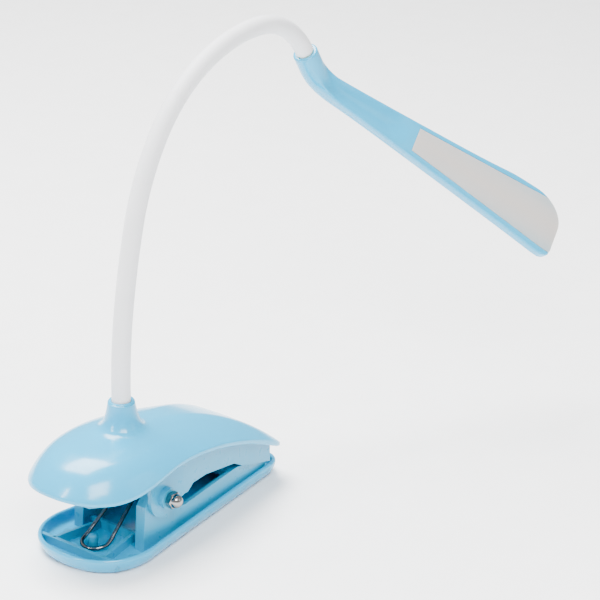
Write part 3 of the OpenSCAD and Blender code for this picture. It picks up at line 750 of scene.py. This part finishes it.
make("cover_shell", *cover_rings(), "clip_top", "blue_plastic", BLUE, ("cover",))
block_me = nodes["upper_jaw"].data.copy()
block_me.materials.clear()
for a in [a for a in block_me.attributes if a.name == "custom_normal"]:
    block_me.attributes.remove(a)
# the upper block takes the darker blue, which is painted shade on its walls
block_me.materials.append(BLUE_PAINTED_SHADE)
block_ob = bpy.data.objects.new("upper_block", block_me)
bpy.context.scene.collection.objects.link(block_ob)
for p in block_me.polygons:
    p.use_smooth = False
finish_piece(block_ob, "clip_top", ("upper_jaw",))

# ---------------------------------------------------------------- neck


SIDEWAYS = np.array([0, 1, 0])


def sleeve_piece(s0, s1, r=4.0, m=56):
    """The silicone skin between two distances along the neck."""
    k = max(2, int(round(s1 - s0)))
    around = [2 * math.pi * j / m for j in range(m)]
    rings = []
    for i in range(k + 1):
        s = s0 + (s1 - s0) * i / k
        if s < 0:
            p, h = np.array([0, 0, 62.0 + s]), 90.0
        elif s > 6 * ARC:
            p, h = neck_at(6 * ARC)
            p = p + (s - 6 * ARC) * np.array([math.cos(math.radians(h)), 0, math.sin(math.radians(h))])
        else:
            p, h = neck_at(s)
        a = math.radians(h)
        across = np.array([math.sin(a), 0, -math.cos(a)])
        rings.append([tuple(p + r * (math.cos(t) * across + math.sin(t) * SIDEWAYS)) for t in around])
    return rings_mesh(rings)


cuts = [-7.0] + [ARC * (k + 1.5) for k in range(4)] + [6 * ARC + 6.0]
bodies = ["clip_top", "neck_2", "neck_3", "neck_4", "neck_5", "neck_6"]
for k in range(5):
    stands_for = (f"sleeve_{k + 1}",) if k < 4 else ("sleeve_5", "sleeve_6")
    ob = make(f"neck_skin_{k + 1}", *sleeve_piece(cuts[k], cuts[k + 1]), None, "silicone", SILICONE)
    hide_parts(*stands_for)
    joint_s = ARC * (k + 1)
    a, _ = neck_at(joint_s - 15)
    b, _ = neck_at(joint_s + 15)
    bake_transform(ob, bodies[k], bodies[k + 1], start=tuple(a * MM), end=tuple(b * MM))

# ---------------------------------------------------------------- head
BLADE_LEN, LENS_START, FRONT, BACK = 124.1, 42.3, 3.72, 3.8
FAR_W, FAR_LEN, NEAR_W, NEAR_R = 13.3, 18.3, 14.5, 3.2


def blade_hw(l):
    return 4.95 + 9.41 * (max(0.0, l + 4.3) / 122) ** 1.1


def tip_cut(y):
    """How far the end falls back: a long rounded corner on one side, a tight one on the other."""
    if y < 0:
        return FAR_LEN * (1 - math.sqrt(max(0.0, 1 - (min(-y, FAR_W) / FAR_W) ** 2)))
    if y <= NEAR_W - NEAR_R:
        return 0.0
    return NEAR_R * (1 - math.sqrt(max(0.0, 1 - ((min(y, NEAR_W) - NEAR_W + NEAR_R) / NEAR_R) ** 2)))


def shell_frame(s):
    roll = ROLL * smooth01(s / ROOT_S)
    if s < ROOT:
        pos, plain = ORIGIN + C_DIR * s, B_DIR
    elif s < ROOT_S:
        a = (s - ROOT) / RAD
        pos = ORIGIN + C_DIR * ROOT + RAD * (math.sin(a) * C_DIR + (1 - math.cos(a)) * B_DIR)
        plain = -math.sin(a) * C_DIR + math.cos(a) * B_DIR
    else:
        pos, plain = B_ORG + BLADE * (s - ROOT_S), FLAT_FACE
    return pos, math.cos(roll) * plain + math.sin(roll) * AXIS, math.cos(roll) * AXIS - math.sin(roll) * plain


FLAT_Y = (1.0, 0.999, 0.995, 0.985, 0.965, 0.935, 0.89, 0.83, 0.75, 0.65, 0.53, 0.4, 0.27, 0.14, 0.0)
SIDE_Z = (0.03, 0.25, 0.5, 0.7, 0.82)
TIP_R = 1.7


def front_half():
    """Unit points over the front of the section, from +1 to -1 across."""
    e = 10.0
    pts = [((1 - z ** e) ** (1 / e), z) for z in SIDE_Z]
    pts += [(y, (1 - y ** e) ** (1 / e)) for y in FLAT_Y[3:]]
    return pts + [(-y, z) for y, z in reversed(pts[:-1])]


def back_half():
    e = 2 / 3.1
    pts = [(1.0, -0.03)]
    pts += [(spow(math.cos(a), e), -spow(math.sin(a), e)) for a in [math.pi * i / 30 for i in range(1, 30)]]
    pts += [(-1.0, -0.03)]
    return list(reversed(pts))


# one unit section: front half, the parting groove, back half, the groove again
UNIT = front_half() + [(-0.991, 0.0)] + back_half() + [(0.991, 0.0)]


def head_ring(s, end, flat=1.0):
    t = smooth01((s - 5) / 23)
    hw_near = 5.5 + (min(blade_hw(s - ROOT_S), NEAR_W) - 5.5) * smooth01((s - 6) / 18)
    room = FAR_W - blade_hw(s - ROOT_S)
    hw_far = 5.5 + (FAR_W - (room + math.hypot(room, 0.7)) / 2 - 5.5) * smooth01((s - 6) / 18)
    front = 5.5 + (FRONT - 5.5) * smooth01((s - 6) / 26)
    back = 5.5 + (BACK - 5.5) * smooth01((s - 6) / 40)
    dish = 1.75 * smooth01((s - 10) / 20) * (1 - smooth01((s - 53) / 14))
    less = TIP_R - math.sqrt(max(0.0, TIP_R ** 2 - max(0.0, TIP_R - (end - s)) ** 2))
    mouth = 0.75 - math.sqrt(max(0.0, 0.75 ** 2 - max(0.0, 0.75 - s) ** 2))
    centre, face, side = shell_frame(s)
    out = []
    for y, z in UNIT:
        a = math.atan2(z, y)
        cy, cz = math.cos(a), math.sin(a)
        hw = (hw_near if y > 0 else hw_far) - less
        py = hw * (y * t + cy * (1 - t))
        half = front if z > 0 else back
        pz = max(half - less, 0.05) * (z * t + cz * (1 - t)) * flat
        if z > 0 and flat:
            pz -= dish * max(0.0, 1 - (py / max(hw - 0.9, 0.1)) ** 2)
        k = 1 - mouth / 5.5
        py, pz = py * k, pz * k
        cut = tip_cut(py) * smooth01((s - 86) / 60)
        out.append(tuple(centre + side * py + face * pz - BLADE * cut))
    return out


def head_loft():
    end = ROOT_S + BLADE_LEN
    ss = [0, 0.1, 0.3, 0.55, 0.8, *np.arange(1.5, 75, 1.3), *np.arange(75, 147.6, 1.8)]
    ss += [end - d for d in (2.2, 1.7, 1.3, 0.9, 0.5, 0.25, 0.08, 0.0)]
    rings = [head_ring(s, end) for s in ss] + [head_ring(end, end, 0.0)]
    return rings_mesh(rings, True, True)


def on_blade(p):
    return tuple(B_ORG + BLADE * p[0] + SIDE * p[1] + FACE * p[2])


def lens_strip(inset, l0):
    end = BLADE_LEN + 6
    ls = [l0 + (end - l0) * i / 24 for i in range(25)]
    near = [(l, min(blade_hw(l), NEAR_W) - inset) for l in ls]
    return near + [(l, -(blade_hw(l) - inset)) for l in reversed(ls)]


def lens_outline(inset, l0, over):
    """The diffuser's own edge: the strip between the bands, ended by the tip's curve."""
    def x_at(y):
        if y >= 0:
            return BLADE_LEN - tip_cut(min(y + over, NEAR_W)) - over
        k = min(1.0, -y / (FAR_W - over))
        return BLADE_LEN - FAR_LEN + (FAR_LEN - over) * math.sqrt(1 - k * k)

    lo, hi = 0.0, FAR_W - over
    for _ in range(50):
        mid = (lo + hi) / 2
        lo, hi = (lo, mid) if mid >= blade_hw(x_at(-mid)) - inset else (mid, hi)
    top = NEAR_W - inset
    last, x_end = x_at(top) - 0.05, x_at(-lo)
    pts = [(l, min(blade_hw(l), NEAR_W) - inset) for l in np.linspace(l0, last, 31)]
    top = pts[-1][1]
    pts += [(x_at(y), y) for y in np.linspace(top, -lo, 41)[1:]]
    pts += [(l, inset - blade_hw(l)) for l in np.linspace(x_end, l0, 31)[1:]]
    return pts


def blade_prism(poly, z0, z1):
    n = len(poly)
    verts = [on_blade((x, y, z0)) for x, y in poly] + [on_blade((x, y, z1)) for x, y in poly]
    faces = [tuple(range(n)), tuple(reversed(range(n, 2 * n)))]
    faces += [(i, (i + 1) % n, (i + 1) % n + n, i + n) for i in range(n)]
    return verts, faces


def temp(name, parts):
    me = bpy.data.meshes.new(name)
    me.from_pydata([tuple(c * MM for c in v) for v in parts[0]], [], [tuple(f) for f in parts[1]])
    ob = bpy.data.objects.new(name, me)
    bpy.context.scene.collection.objects.link(ob)
    bm = bmesh.new()
    bm.from_mesh(me)
    bmesh.ops.recalc_face_normals(bm, faces=bm.faces)
    bm.to_mesh(me)
    bm.free()
    return ob


head_ob = make("head_skin", *head_loft(), None, None, BLUE)
cutters = [
    temp("cut_neck", turned([(4.06, -2.0), (4.06, 10.4)], (END[0], 0, END[2]), C_DIR, 64)),
    temp("cut_lens", blade_prism(lens_strip(2.3, LENS_START), 2.0, 9.0)),
    temp("cut_button", turned([(3.1, 0), (3.1, 6.6)], on_blade((LENS_START + 12, 0, -7.5)), FACE, 48)),
]
for c in cutters:
    m = head_ob.modifiers.new("cut", "BOOLEAN")
    m.object = c
    m.operation = "DIFFERENCE"
    m.solver = "EXACT"
apply_mods(head_ob)
for c in cutters:
    bpy.data.objects.remove(c, do_unlink=True)
for p in head_ob.data.polygons:
    p.use_smooth = True
head_ob.data.set_sharp_from_angle(angle=math.radians(35))
finish_piece(head_ob, "head", ("head_shell", "head_frame"))


def rim_lens():
    """The milky sheet, its top edge eased all round."""
    rings = []
    for d, z in [(0.0, 2.16), (0.0, 3.55), (0.05, 3.72), (0.2, 3.83), (0.45, 3.85)]:
        rings.append([on_blade((x, y, z)) for x, y in lens_outline(2.42 + d, LENS_START + 0.12 + d, 0.5 + d)])
    return rings_mesh(rings, True, True)


lens = make("diffuser_sheet", *rim_lens(), "head", "milky_diffuser", MILK, ("diffuser",))
lens.data.set_sharp_from_angle(angle=math.radians(50))
soft_from_cad("button", "button", BUTTON, 0.35, 3, 40)

# ---------------------------------------------------------------- floor, light and camera
floor_me = bpy.data.meshes.new("studio_floor")
floor_me.from_pydata([(-6, -6, 0), (6, -6, 0), (6, 6, 0), (-6, 6, 0)], [], [(0, 1, 2, 3)])
floor = bpy.data.objects.new("studio_floor", floor_me)
bpy.context.scene.collection.objects.link(floor)
pale = Mat("studio_paper")
paper = pale.noise(pale.coords(), 60.0, 3.0)
paper_tone = pale.ramp(paper, [(0.3, (0.93, 0.93, 0.93)), (0.7, (0.945, 0.945, 0.945))])
pale.link(paper_tone, pale.b.inputs["Base Color"])
pale.spread(paper, 0.55, 0.65, "Roughness")
floor_me.materials.append(pale.m)

world = bpy.data.worlds.new("studio")
bpy.context.scene.world = world
world.use_nodes = True
world.node_tree.nodes["Background"].inputs[0].default_value = (0.97, 0.985, 1.0, 1)
world.node_tree.nodes["Background"].inputs[1].default_value = 0.85


def softbox(name, where, aim, size, power, colour=(1, 1, 1)):
    data = bpy.data.lights.new(name, "AREA")
    data.shape = "RECTANGLE"
    data.size, data.size_y = size
    data.energy = power
    data.color = colour
    ob = bpy.data.objects.new(name, data)
    bpy.context.scene.collection.objects.link(ob)
    ob.location = where
    ob.rotation_euler = (Vector(aim) - Vector(where)).to_track_quat("-Z", "Y").to_euler()
    return ob


softbox("front_box", (-0.38, -0.50, 0.66), (-0.03, -0.015, 0.04), (0.42, 0.34), 11.0)
softbox("side_strip", (-0.76, 0.24, 0.49), (0.0, 0, 0.055), (0.08, 0.40), 4.5)
softbox("overhead", (0.1, 0.45, 1.25), (0.06, 0, 0.0), (0.8, 0.8), 70.0)
softbox("fill_right", (0.35, -0.95, 0.5), (0.08, -0.02, 0.1), (0.5, 0.6), 1.2)

CAMERA_AT = (-0.637957, -0.605889, 0.464474)
LOOKING = (0.72232815, 0.57920101, -0.37784683)
LENS_MM = 140.45
cam_data = bpy.data.cameras.new("camera")
cam_data.lens = LENS_MM
cam_data.sensor_width = 36.0
cam_data.clip_start = 0.05
cam_data.clip_end = 30
cam = bpy.data.objects.new("camera", cam_data)
bpy.context.scene.collection.objects.link(cam)
fwd = Vector(LOOKING).normalized()
right = fwd.cross((0.0, 0.0, 1.0)).normalized()
up = right.cross(fwd).normalized()
turn = Matrix((right, up, -fwd)).transposed().to_4x4()
cam.matrix_world = Matrix.Translation(CAMERA_AT) @ turn
bpy.context.scene.camera = cam
